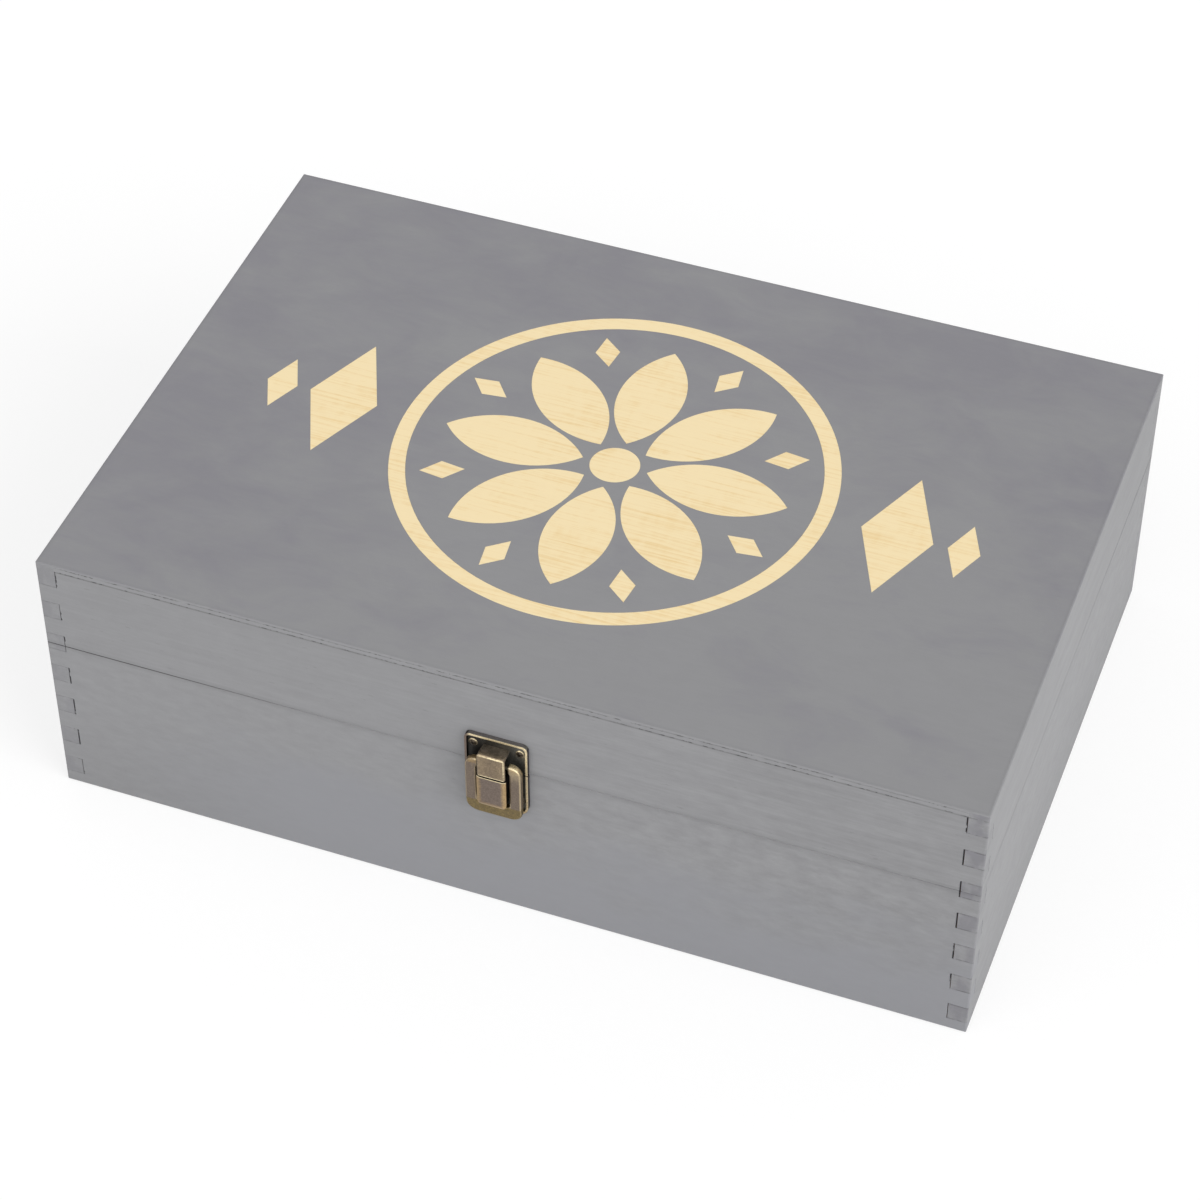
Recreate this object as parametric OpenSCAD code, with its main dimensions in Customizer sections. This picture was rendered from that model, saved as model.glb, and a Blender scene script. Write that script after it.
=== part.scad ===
// Keepsake box for papers: a finger-jointed wooden box with a hinged lid and a small bronze clasp.
// Millimetres, +Z up. The origin is the centre of the underside and the front faces -Y.

/* [Box] */
// Outer width, left to right
box_w = 340; // [280:5:420]
// Outer depth, front to back
box_d = 230; // [180:5:300]
// Outer height with the lid shut
box_h = 110; // [96:1:140]
// Height of the seam between base and lid
seam_z = 71; // [50:1:78]
// Gap of the seam, the width of the saw cut that shows
seam_gap = 0.2; // [0.1:0.05:0.5]
// Thickness of the four wall boards
board_t = 7; // [6.5:0.5:10]
// Rounding of the outer edges
edge_r = 0.6; // [0.3:0.1:2]

/* [Finger joints] */
// Height of the lowest side-board finger above the underside
first_finger_z = 5.1; // [3:0.1:8]
// Distance from one side-board finger to the next
finger_pitch = 15.75; // [14:0.25:24]
// Height of one side-board finger
finger_h = 7.8; // [5:0.1:11]
// Gap above and below each finger
finger_gap = 0.06; // [0:0.02:0.2]
// Gap that a socket leaves at the end of the finger in it
socket_gap = 0.25; // [0:0.05:0.5]

/* [Panels] */
// Thickness of the plywood lid panel
lid_panel_t = 2.8; // [2.4:0.2:5]
// Thickness of the plywood bottom panel
bottom_panel_t = 3; // [2.4:0.2:5]
// Width of the rebate that holds the bottom panel in the boards
bottom_rebate = 3.5; // [2:0.5:4.5]

/* [Lid inlay] */
// Depth of the pale veneer pieces let into the lid panel
inlay_t = 0.6; // [0.4:0.1:1]
// Gap round each veneer piece
inlay_gap = 0.04; // [0.02:0.01:0.1]
// Number of rosette petals
petal_count = 8; // [5:1:8]
// Distance from the rosette centre to the inner tip of a petal
petal_start = 12; // [11:1:13]
// Length of a petal
petal_l = 52; // [40:1:54]
// Widest width of a petal
petal_w = 24; // [12:1:24]
// Radius of the disc in the middle of the rosette
rosette_eye_r = 9; // [5:0.5:10]
// Distance from the rosette centre to the small lozenges between petals
bead_ring_r = 61; // [58:1:63]
// Length of a small lozenge, along the radius
bead_l = 16; // [8:1:18]
// Width of a small lozenge
bead_w = 9; // [5:0.5:10]
// Outer radius of the ring round the rosette
ring_r = 80; // [80:1:86]
// Width of the ring
ring_w = 6; // [3:0.5:7]
// Distance from the lid centre to the large side lozenges
lozenge_x = 104; // [101:1:108]
// Width of a large side lozenge, left to right
lozenge_w = 26; // [16:1:28]
// Depth of a large side lozenge, front to back
lozenge_d = 60; // [30:1:70]
// Distance from a large side lozenge to the small one beyond it
lozenge_step = 24; // [22:0.5:26]
// Size of the small side lozenge as a share of the large one
lozenge_ratio = 0.45; // [0.3:0.05:0.5]

/* [Clasp plates] */
// Width of the clasp plates
clasp_w = 22.8; // [22.6:0.2:26]
// Reach of the upper plate above the seam
clasp_above = 13.8; // [12:0.2:16]
// Reach of the lower plate below the seam
clasp_below = 20; // [18:0.2:24]
// Rounding of the upper corners of the plates
clasp_corner_r = 2.2; // [1.2:0.2:3]
// Rounding of the lower corners of the plates
clasp_foot_r = 4; // [2:0.2:5]
// Thickness of the sheet that the plates are pressed from
clasp_floor_t = 0.8; // [0.5:0.1:1.2]
// Depth of the raised rim, measured from the wood
clasp_rim_d = 1.8; // [1.4:0.1:2]
// Width of the raised rim
clasp_rim_w = 0.8; // [0.5:0.1:0.9]
// Gap between the two plates at the seam
clasp_split = 0.5; // [0.3:0.1:1]

/* [Clasp keeper and tongue] */
// Width of the keeper on the lid
keeper_w = 10.2; // [9.2:0.1:10.5]
// Width of the keeper's shelf where it meets the plate
keeper_root_w = 9.2; // [7:0.2:9.4]
// Height of the keeper's shelf above the seam, at its front
keeper_above = 10.4; // [10:0.1:11.5]
// Rise of the shelf from the plate to its front
keeper_slope = 1; // [0.4:0.1:1.4]
// Thickness of the keeper's sheet
keeper_t = 1; // [0.8:0.1:1.4]
// Rounding of the keeper's upper corners
keeper_corner_r = 1.4; // [0.8:0.1:2]
// Bevel along the top and the sides of the keeper's front
keeper_bevel = 0.6; // [0.3:0.1:0.7]
// Gap between the keeper and the tongue's face, centred on the seam
tongue_split = 0.8; // [0.5:0.1:1.2]
// Width of the tongue's face on the base
tongue_w = 10.7; // [9:0.1:11]
// Reach of the tongue's face below the seam
tongue_below = 14.2; // [13.4:0.1:15]
// Rounding of the tongue's lower corners
tongue_corner_r = 2; // [1:0.1:2.6]
// Width of the flat bevel along the sides and the foot of the tongue's face
tongue_bevel_w = 1.2; // [0.8:0.1:1.6]
// Depth of that bevel
tongue_bevel_t = 0.5; // [0.3:0.1:0.7]
// Amount by which the tongue's body is narrower than its face, each side
tongue_inset = 0.7; // [0.3:0.1:1.2]
// Width of the neck behind the keeper
neck_w = 6.8; // [5:0.2:8]
// Thickness of the neck, front to back
neck_t = 2.4; // [2:0.1:2.6]
// Gap between the neck and the keeper's front wall
neck_gap = 0.7; // [0.4:0.05:0.9]
// Gap between the top of the neck and the keeper's shelf
neck_head_gap = 0.8; // [0.5:0.1:1]

/* [Clasp lever] */
// Outer width of the U-shaped lever
lever_w = 20.4; // [19.8:0.1:20.8]
// Width of each arm
lever_arm_w = 3.9; // [3.4:0.1:4.2]
// Thickness of the arms, front to back
lever_t = 2.4; // [2.2:0.1:2.8]
// Thickness of the lever at its lower edge
lever_foot_t = 1.3; // [0.8:0.1:2.2]
// Height of the arm tips above the seam
lever_above = 5.9; // [5.8:0.1:6.2]
// Reach of the lever below the seam
lever_below = 21.2; // [20.2:0.1:22]
// Gap between the lever's cross bar and the tongue's face
lever_bar_gap = 0.5; // [0.4:0.1:0.8]
// Rounding of the lever's lower outer corners
lever_corner_r = 4.5; // [3:0.1:5.5]
// Rounding of the lever's lower inner corners
lever_inner_r = 1.5; // [0.8:0.1:2.5]
// Rounding of the outer side of each arm tip
lever_tip_r = 4.2; // [3.6:0.1:4.4]
// Rounding of the nose that each tip turns towards the keeper
lever_nose_r = 0.8; // [0.4:0.1:1]
// Height of the flat inner side of the nose
lever_nose_h = 2.6; // [2.2:0.1:3]
// Gap between the lever's back and the plate rims
lever_rim_gap = 1.2; // [0.6:0.1:1.4]
// Gap between the noses and the keeper
lever_side_gap = 0.3; // [0.3:0.05:0.6]
// Height of the lever's pivot above the seam
pivot_above = 4.5; // [4.2:0.05:4.6]
// Radius of the pivot pin
pivot_pin_r = 0.7; // [0.5:0.05:0.7]
// Depth of the pin in each arm
pivot_pin_bite = 2.2; // [1.4:0.1:2.4]

/* [Hinges] */
// Distance from the box centre to each hinge
hinge_x = 105; // [80:1:115]
// Width of a hinge
hinge_w = 25; // [20:1:36]
// Height of one leaf, from the pin outwards
hinge_leaf_h = 12; // [11:0.5:15]
// Thickness of a leaf
hinge_leaf_t = 0.9; // [0.7:0.1:1]
// Outer radius of the knuckles
hinge_knuckle_r = 1.6; // [1.4:0.1:2]
// Number of knuckles on a hinge
hinge_knuckles = 5; // [3:2:7]
// Radius of the hinge pin
hinge_pin_r = 0.7; // [0.5:0.05:0.8]
// Gap between the knuckles and the wood
hinge_wood_gap = 0.2; // [0.2:0.05:0.4]
// Gap between neighbouring knuckles
hinge_side_gap = 0.2; // [0.1:0.05:0.3]
// Distance from the hinge centre to each screw
hinge_screw_x = 8; // [6:0.5:8]
// Distance from the pin to the row of screws
hinge_screw_z = 7.5; // [6:0.5:8.5]

/* [Screws] */
// Radius of a screw head
screw_head_r = 1.7; // [1.3:0.1:1.8]
// Height of a screw head
screw_head_h = 0.7; // [0.5:0.05:0.7]
// Radius of a screw shank
screw_shank_r = 0.8; // [0.6:0.05:0.9]
// Length of a screw shank
screw_shank_l = 5.5; // [4:0.1:5.8]
// Width of the cross slots in a screw head
screw_slot_w = 0.4; // [0.3:0.05:0.5]
// Length of the cross slots as a share of the head's width
screw_slot_share = 0.7; // [0.5:0.05:0.8]
// Turn of the cross slots
screw_slot_turn = 20; // [0:5:90]
// Distance from the clasp centre to each clasp screw
clasp_screw_x = 8.5; // [8.2:0.1:8.8]
// Height of the upper clasp screws above the seam
clasp_screw_above = 9.2; // [8.4:0.1:10]
// Distance of the lower clasp screws below the seam
clasp_screw_below = 14; // [12:0.1:14.6]

/* [Hidden] */

paint_grey = [0.56, 0.56, 0.57];
bare_wood = [0.86, 0.76, 0.60];
pale_veneer = [0.98, 0.88, 0.69];
bronze = [0.50, 0.41, 0.27];
dark_bronze = [0.24, 0.19, 0.13];
steel = [0.62, 0.60, 0.56];

$fn = 48;
past = 1;                      // how far a cutting shape runs past the face that it cuts
running_gap = 0.05;            // radial clearance of a part that turns on a pin
seated_gap = 0.02;             // radial clearance of a pin or screw that stays put
pilot_end_gap = 0.3;           // space past the end of a screw or pin in its blind hole

half_w = box_w / 2;
half_d = box_d / 2;
inner_w = box_w - 2 * board_t;
inner_d = box_d - 2 * board_t;

// Heights of the side-board fingers, and the strip beside the lid panel, as [low, high]
finger_starts = [first_finger_z : finger_pitch : box_h - 1];
finger_bands = concat(
    [for (z = finger_starts) [z, min(z + finger_h, box_h)]],
    [[box_h - lid_panel_t, box_h]]
);

// Clasp depths, measured out from the front of the wood
lever_back_d = clasp_rim_d + lever_rim_gap;
lever_front_d = lever_back_d + lever_t;
pivot_d = lever_back_d + lever_t / 2;
keeper_inner_d = pivot_d + neck_t / 2 + neck_gap;
keeper_front_d = keeper_inner_d + keeper_t;

// Clasp heights
clasp_top_z = seam_z + clasp_above;
clasp_bottom_z = seam_z - clasp_below;
keeper_top_z = seam_z + keeper_above;
keeper_bottom_z = seam_z + tongue_split / 2;
tongue_top_z = seam_z - tongue_split / 2;
tongue_bottom_z = seam_z - tongue_below;
neck_top_z = keeper_top_z - keeper_slope - keeper_t - neck_head_gap;
lever_top_z = seam_z + lever_above;
lever_bottom_z = seam_z - lever_below;
lever_bar_top_z = tongue_bottom_z - lever_bar_gap;
lever_fold_z = tongue_bottom_z;
pivot_z = seam_z + pivot_above;
lever_heel_r = lever_top_z - pivot_z;

nose_x = keeper_w / 2 + lever_side_gap;
pin_end_x = nose_x + pivot_pin_bite;

hinge_pin_y = half_d + hinge_wood_gap + hinge_knuckle_r;
knuckle_l = hinge_w / hinge_knuckles;

// A rectangle with round corners, centred on the origin
module rounded_rect(w, h, r) {
    square([w - 2 * r, h], center = true);
    square([w, h - 2 * r], center = true);
    for (sx = [-1, 1], sy = [-1, 1])
        translate([sx * (w / 2 - r), sy * (h / 2 - r)]) circle(r);
}

// A rhombus with its long corners on the axes
module rhombus(w, d) {
    polygon([[w / 2, 0], [0, d / 2], [-w / 2, 0], [0, -d / 2]]);
}

// An upright outline, drawn in X and Z, standing out from the front of the wood
module on_front(d0, d1) {
    translate([0, -half_d - d0, 0]) rotate([90, 0, 0]) linear_extrude(d1 - d0) children();
}

// The same on the back of the wood
module on_back(d0, d1) {
    translate([0, half_d + d1, 0]) rotate([90, 0, 0]) linear_extrude(d1 - d0) children();
}

// An outline of depth and height in front of the wood, w wide across the middle
module from_side(w) {
    translate([-w / 2, -half_d, 0]) rotate([90, 0, 90]) linear_extrude(w)
        mirror([1, 0, 0]) children();
}

// An outline of X and depth in front of the wood, between two heights
module from_above(z0, z1) {
    translate([0, -half_d, z0]) mirror([0, 1, 0]) linear_extrude(z1 - z0) children();
}

// A rectangle across the middle between two heights, with its lower corners rounded
module round_foot(w, z0, z1, r) {
    translate([-w / 2, z0 + r]) square([w, z1 - z0 - r]);
    translate([-w / 2 + r, z0]) square([w - 2 * r, z1 - z0]);
    for (s = [-1, 1]) translate([s * (w / 2 - r), z0 + r]) circle(r);
}

// The same with its upper corners rounded
module round_head(w, z0, z1, r) {
    translate([0, z0 + z1]) mirror([0, 1, 0]) round_foot(w, z0, z1, r);
}

// A round bar along X through the point y, z
module bar_x(x0, x1, y, z, r) {
    translate([x0, y, z]) rotate([0, 90, 0]) cylinder(h = x1 - x0, r = r);
}

// Everything between two heights
module height_band(z0, z1) {
    translate([-box_w, -box_d, z0]) cube([2 * box_w, 2 * box_d, z1 - z0]);
}

module below_seam(gap) { height_band(-past, seam_z - gap / 2); }
module above_seam(gap) { height_band(seam_z + gap / 2, box_h + past); }

// The closed box with its outer edges eased
module eased_block() {
    intersection() {
        linear_extrude(box_h) rounded_rect(box_w, box_d, edge_r);
        translate([0, half_d, box_h / 2]) rotate([90, 0, 0])
            linear_extrude(box_d) rounded_rect(box_w, box_h, edge_r);
        translate([-half_w, 0, box_h / 2]) rotate([90, 0, 90])
            linear_extrude(box_w) rounded_rect(box_d, box_h, edge_r);
    }
}

module bottom_panel_space() {
    translate([-inner_w / 2 - bottom_rebate, -inner_d / 2 - bottom_rebate, 0])
        cube([inner_w + 2 * bottom_rebate, inner_d + 2 * bottom_rebate, bottom_panel_t]);
}

// A wooden screw hole in the front boards at x, z
module front_pilot(x, z) {
    translate([x, -half_d - past, z]) rotate([-90, 0, 0])
        cylinder(h = past + screw_shank_l + pilot_end_gap, r = screw_shank_r + seated_gap);
}

// The same in the back boards
module back_pilot(x, z) {
    mirror([0, 1, 0]) front_pilot(x, z);
}

// A side board before the seam is cut, for the right side
module whole_side_board() {
    body_d = inner_d - 2 * socket_gap;
    intersection() {
        difference() {
            union() {
                translate([half_w - board_t, -body_d / 2, 0]) cube([board_t, body_d, box_h]);
                for (band = finger_bands)
                    translate([half_w - board_t, -half_d, band[0]])
                        cube([board_t, box_d, band[1] - band[0]]);
            }
            bottom_panel_space();
        }
        eased_block();
    }
}

// A front board before the seam is cut
module whole_front_board() {
    body_w = inner_w - 2 * socket_gap;
    intersection() {
        difference() {
            translate([-half_w, -half_d, 0]) cube([box_w, board_t, box_h - lid_panel_t]);
            for (band = finger_bands, side = [0, 1])
                mirror([side, 0, 0])
                    translate([body_w / 2, -half_d - past, band[0] - finger_gap])
                        cube([board_t + past + socket_gap, board_t + 2 * past,
                              band[1] - band[0] + 2 * finger_gap]);
            bottom_panel_space();
        }
        eased_block();
    }
}

module base_front_board() {
    color(paint_grey) difference() {
        intersection() {
            whole_front_board();
            below_seam(seam_gap);
        }
        for (s = [-1, 1]) front_pilot(s * clasp_screw_x, seam_z - clasp_screw_below);
    }
}

module base_back_board() {
    color(paint_grey) difference() {
        intersection() {
            mirror([0, 1, 0]) whole_front_board();
            below_seam(seam_gap);
        }
        for (h = [-1, 1], s = [-1, 1])
            back_pilot(h * hinge_x + s * hinge_screw_x, seam_z - hinge_screw_z);
    }
}

module base_right_board() {
    color(paint_grey) intersection() {
        whole_side_board();
        below_seam(seam_gap);
    }
}

module base_left_board() { mirror([1, 0, 0]) base_right_board(); }

module base_bottom_panel() {
    color(bare_wood) bottom_panel_space();
}

module lid_front_board() {
    color(paint_grey) difference() {
        intersection() {
            whole_front_board();
            above_seam(seam_gap);
        }
        for (s = [-1, 1]) front_pilot(s * clasp_screw_x, seam_z + clasp_screw_above);
    }
}

module lid_back_board() {
    color(paint_grey) difference() {
        intersection() {
            mirror([0, 1, 0]) whole_front_board();
            above_seam(seam_gap);
        }
        for (h = [-1, 1], s = [-1, 1])
            back_pilot(h * hinge_x + s * hinge_screw_x, seam_z + hinge_screw_z);
    }
}

module lid_right_board() {
    color(paint_grey) intersection() {
        whole_side_board();
        above_seam(seam_gap);
    }
}

module lid_left_board() { mirror([1, 0, 0]) lid_right_board(); }

// One rosette petal, pointed at both ends, along +X; grow widens it for its pocket
module petal_2d(grow) {
    bow_r = (pow(petal_l / 2, 2) + pow(petal_w / 2, 2)) / petal_w;
    intersection_for(s = [-1, 1])
        translate([petal_start + petal_l / 2, s * (bow_r - petal_w / 2)])
            circle(bow_r + grow, $fn = 180);
}

module rosette_2d(grow) {
    circle(rosette_eye_r + grow);
    for (k = [0 : petal_count - 1]) {
        rotate(k * 360 / petal_count) petal_2d(grow);
        rotate((k + 0.5) * 360 / petal_count) translate([bead_ring_r, 0])
            rhombus(bead_l + 2 * grow, bead_w + 2 * grow);
    }
}

module ring_2d(grow) {
    difference() {
        circle(ring_r + grow, $fn = 180);
        circle(ring_r - ring_w - grow, $fn = 180);
    }
}

module lozenges_2d(grow) {
    for (s = [-1, 1]) {
        translate([s * lozenge_x, 0]) rhombus(lozenge_w + 2 * grow, lozenge_d + 2 * grow);
        translate([s * (lozenge_x + lozenge_step), 0])
            rhombus(lozenge_ratio * lozenge_w + 2 * grow, lozenge_ratio * lozenge_d + 2 * grow);
    }
}

// Veneer pieces of an outline, flush with the top of the lid panel
module veneer(depth) {
    translate([0, 0, box_h - inlay_t]) linear_extrude(depth) children();
}

module lid_top_panel() {
    color(paint_grey) difference() {
        intersection() {
            translate([-inner_w / 2, -half_d, box_h - lid_panel_t]) cube([inner_w, box_d, lid_panel_t]);
            eased_block();
        }
        veneer(inlay_t + past) {
            rosette_2d(inlay_gap);
            ring_2d(inlay_gap);
            lozenges_2d(inlay_gap);
        }
    }
}

module lid_inlay_rosette() { color(pale_veneer) veneer(inlay_t) rosette_2d(0); }
module lid_inlay_ring() { color(pale_veneer) veneer(inlay_t) ring_2d(0); }
module lid_inlay_lozenges() { color(pale_veneer) veneer(inlay_t) lozenges_2d(0); }

// A screw with a domed cross-slotted head; its head stands on the origin and points along +Z
module screw() {
    dome_r = (pow(screw_head_r, 2) + pow(screw_head_h, 2)) / (2 * screw_head_h);
    slot_l = 2 * screw_head_r * screw_slot_share;
    difference() {
        union() {
            intersection() {
                cylinder(h = screw_head_h, r = screw_head_r);
                translate([0, 0, screw_head_h - dome_r]) sphere(dome_r);
            }
            translate([0, 0, -screw_shank_l])
                cylinder(h = screw_shank_l + screw_head_h / 4, r = screw_shank_r);
        }
        for (a = [0, 90]) rotate([0, 0, a + screw_slot_turn])
            translate([-slot_l / 2, -screw_slot_w / 2, screw_head_h / 2])
                cube([slot_l, screw_slot_w, screw_head_h]);
    }
}

// Screws at the given x places and one height, on a sheet of thickness t on the front
module front_screws(places, z, t) {
    for (x = places) translate([x, -half_d - t, z]) rotate([90, 0, 0]) screw();
}

module back_screws(places, z, t) {
    for (x = places) translate([x, half_d + t, z]) rotate([-90, 0, 0]) screw();
}

clasp_screw_places = [-clasp_screw_x, clasp_screw_x];
hinge_screw_places = [for (h = [-1, 1], s = [-1, 1]) h * hinge_x + s * hinge_screw_x];

// Outline of both clasp plates together, drawn in by inset
module clasp_outline(inset) {
    w = clasp_w - 2 * inset;
    round_foot(w, clasp_bottom_z + inset, seam_z + past, clasp_foot_r - inset);
    round_head(w, seam_z - past, clasp_top_z - inset, clasp_corner_r - inset);
}

// Pressed tray of both plates, with its rim and one row of screw holes
module clasp_tray(screw_z) {
    difference() {
        on_front(0, clasp_rim_d) clasp_outline(0);
        on_front(clasp_floor_t, clasp_rim_d + past) clasp_outline(clasp_rim_w);
        for (x = clasp_screw_places) front_pilot(x, screw_z);
    }
}

module clasp_base_plate() {
    color(dark_bronze) intersection() {
        clasp_tray(seam_z - clasp_screw_below);
        below_seam(clasp_split);
    }
}

module clasp_lid_plate() {
    color(dark_bronze) intersection() {
        clasp_tray(seam_z + clasp_screw_above);
        above_seam(clasp_split);
    }
}

module clasp_base_screws() {
    color(bronze) front_screws(clasp_screw_places, seam_z - clasp_screw_below, clasp_floor_t);
}

module clasp_lid_screws() {
    color(bronze) front_screws(clasp_screw_places, seam_z + clasp_screw_above, clasp_floor_t);
}

// Keeper from above, from the plate out to its bevelled front
module keeper_plan_2d() {
    bevel_d = keeper_front_d - keeper_bevel;
    polygon([[-keeper_root_w / 2, clasp_floor_t], [keeper_root_w / 2, clasp_floor_t],
             [keeper_w / 2, bevel_d], [keeper_w / 2 - keeper_bevel, keeper_front_d],
             [-keeper_w / 2 + keeper_bevel, keeper_front_d], [-keeper_w / 2, bevel_d]]);
}

// Keeper from the side: a rising shelf and the front wall
module keeper_side_2d() {
    root_z = keeper_top_z - keeper_slope;
    polygon([[clasp_floor_t, root_z], [keeper_front_d - keeper_bevel, keeper_top_z],
             [keeper_front_d, keeper_top_z - keeper_bevel], [keeper_front_d, keeper_bottom_z],
             [keeper_inner_d, keeper_bottom_z], [keeper_inner_d, keeper_top_z - keeper_t],
             [clasp_floor_t, root_z - keeper_t]]);
}

module clasp_keeper() {
    color(bronze) intersection() {
        on_front(0, keeper_front_d + past)
            round_head(keeper_w, keeper_bottom_z, keeper_top_z, keeper_corner_r);
        from_above(keeper_bottom_z - past, keeper_top_z + past) keeper_plan_2d();
        from_side(2 * keeper_w) keeper_side_2d();
    }
}

// Face of the tongue, bevelled along its sides and its foot
module tongue_face() {
    bevel_x = tongue_w / 2 - tongue_bevel_w;
    bevel_d = keeper_front_d - tongue_bevel_t;
    intersection() {
        on_front(keeper_inner_d, keeper_front_d)
            round_foot(tongue_w, tongue_bottom_z, tongue_top_z, tongue_corner_r);
        from_above(tongue_bottom_z - past, tongue_top_z + past)
            polygon([[-tongue_w / 2, 0], [tongue_w / 2, 0], [tongue_w / 2, bevel_d],
                     [bevel_x, keeper_front_d], [-bevel_x, keeper_front_d], [-tongue_w / 2, bevel_d]]);
        from_side(2 * tongue_w)
            polygon([[0, tongue_bottom_z], [bevel_d, tongue_bottom_z],
                     [keeper_front_d, tongue_bottom_z + tongue_bevel_w],
                     [keeper_front_d, tongue_top_z + past], [0, tongue_top_z + past]]);
    }
}

module tongue_body_2d() {
    w = tongue_w - 2 * tongue_inset;
    translate([-w / 2, tongue_bottom_z + tongue_inset])
        square([w, tongue_top_z - tongue_bottom_z - tongue_inset]);
}

module neck_2d() {
    translate([-neck_w / 2, tongue_bottom_z + tongue_corner_r])
        square([neck_w, neck_top_z - tongue_bottom_z - tongue_corner_r]);
}

module clasp_tongue() {
    color(bronze) difference() {
        union() {
            tongue_face();
            on_front(clasp_floor_t, keeper_inner_d + keeper_t / 2) tongue_body_2d();
            on_front(pivot_d - neck_t / 2, pivot_d + neck_t / 2) neck_2d();
        }
        bar_x(-neck_w, neck_w, -half_d - pivot_d, pivot_z, pivot_pin_r + seated_gap);
    }
}

module clasp_pivot_pin() {
    color(steel) bar_x(-pin_end_x, pin_end_x, -half_d - pivot_d, pivot_z, pivot_pin_r);
}

// Rounded tip of the right arm, with the nose that points at the keeper
module lever_tip_2d() {
    arm_x = lever_w / 2 - lever_arm_w;
    shoulder_z = lever_top_z - lever_tip_r;
    intersection() {
        union() {
            translate([lever_w / 2 - lever_tip_r, shoulder_z]) circle(lever_tip_r);
            translate([nose_x, shoulder_z]) square([lever_w / 2 - lever_tip_r - nose_x, lever_tip_r]);
        }
        union() {
            polygon([[nose_x, lever_top_z - lever_nose_r], [nose_x, lever_top_z - lever_nose_h],
                     [arm_x, shoulder_z], [arm_x, shoulder_z - past], [lever_w / 2, shoulder_z - past],
                     [lever_w / 2, lever_top_z], [nose_x + lever_nose_r, lever_top_z]]);
            translate([nose_x + lever_nose_r, lever_top_z - lever_nose_r]) circle(lever_nose_r);
        }
    }
}

module lever_2d() {
    difference() {
        round_foot(lever_w, lever_bottom_z, lever_top_z - lever_tip_r, lever_corner_r);
        round_foot(lever_w - 2 * lever_arm_w, lever_bar_top_z, lever_top_z, lever_inner_r);
    }
    lever_tip_2d();
    mirror([1, 0, 0]) lever_tip_2d();
}

// Lever from the side: a round heel, straight arms, and a foot that thins towards its edge
module lever_side_2d() {
    translate([pivot_d, pivot_z]) circle(lever_heel_r);
    polygon([[lever_back_d, lever_bottom_z], [lever_back_d + lever_foot_t, lever_bottom_z],
             [lever_front_d, lever_fold_z], [lever_front_d, pivot_z], [lever_back_d, pivot_z]]);
}

module clasp_lever() {
    bore_end_x = pin_end_x + pilot_end_gap;
    color(bronze) difference() {
        intersection() {
            on_front(lever_back_d, lever_front_d) lever_2d();
            from_side(2 * lever_w) lever_side_2d();
        }
        bar_x(-bore_end_x, bore_end_x, -half_d - pivot_d, pivot_z, pivot_pin_r + running_gap);
    }
}

// One hinge leaf below the pin; its own knuckles are every second one, from the first named
module hinge_leaf(first) {
    own = [first : 2 : hinge_knuckles - 1];
    other = [1 - first : 2 : hinge_knuckles - 1];
    color(bronze) difference() {
        union() {
            on_back(0, hinge_leaf_t)
                translate([-hinge_w / 2, seam_z - hinge_leaf_h]) square([hinge_w, hinge_leaf_h]);
            for (k = own)
                bar_x(-hinge_w / 2 + k * knuckle_l + hinge_side_gap / 2,
                      -hinge_w / 2 + (k + 1) * knuckle_l - hinge_side_gap / 2,
                      hinge_pin_y, seam_z, hinge_knuckle_r);
        }
        for (k = other)
            bar_x(-hinge_w / 2 + k * knuckle_l - hinge_side_gap / 2,
                  -hinge_w / 2 + (k + 1) * knuckle_l + hinge_side_gap / 2,
                  hinge_pin_y, seam_z, hinge_knuckle_r + hinge_side_gap);
        bar_x(-hinge_w, hinge_w, hinge_pin_y, seam_z, hinge_pin_r + running_gap);
        for (s = [-1, 1]) back_pilot(s * hinge_screw_x, seam_z - hinge_screw_z);
    }
}

module base_leaf(side) { translate([side * hinge_x, 0, 0]) hinge_leaf(0); }

module lid_leaf(side) {
    translate([side * hinge_x, 0, 2 * seam_z]) mirror([0, 0, 1]) hinge_leaf(1);
}

module hinge_pin(side) {
    color(steel) bar_x(side * hinge_x - hinge_w / 2, side * hinge_x + hinge_w / 2,
                       hinge_pin_y, seam_z, hinge_pin_r);
}

module hinge_left_base_leaf() { base_leaf(-1); }
module hinge_left_lid_leaf() { lid_leaf(-1); }
module hinge_left_pin() { hinge_pin(-1); }
module hinge_right_base_leaf() { base_leaf(1); }
module hinge_right_lid_leaf() { lid_leaf(1); }
module hinge_right_pin() { hinge_pin(1); }

module hinge_base_screws() {
    color(bronze) back_screws(hinge_screw_places, seam_z - hinge_screw_z, hinge_leaf_t);
}

module hinge_lid_screws() {
    color(bronze) back_screws(hinge_screw_places, seam_z + hinge_screw_z, hinge_leaf_t);
}

base_front_board();
base_back_board();
base_left_board();
base_right_board();
base_bottom_panel();
lid_front_board();
lid_back_board();
lid_left_board();
lid_right_board();
lid_top_panel();
lid_inlay_rosette();
lid_inlay_ring();
lid_inlay_lozenges();
hinge_left_base_leaf();
hinge_left_lid_leaf();
hinge_left_pin();
hinge_right_base_leaf();
hinge_right_lid_leaf();
hinge_right_pin();
hinge_base_screws();
hinge_lid_screws();
clasp_base_plate();
clasp_tongue();
clasp_pivot_pin();
clasp_base_screws();
clasp_lid_plate();
clasp_keeper();
clasp_lid_screws();
clasp_lever();
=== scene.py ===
import math

import bmesh
import bpy
from mathutils import Euler, Matrix, Vector


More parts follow.
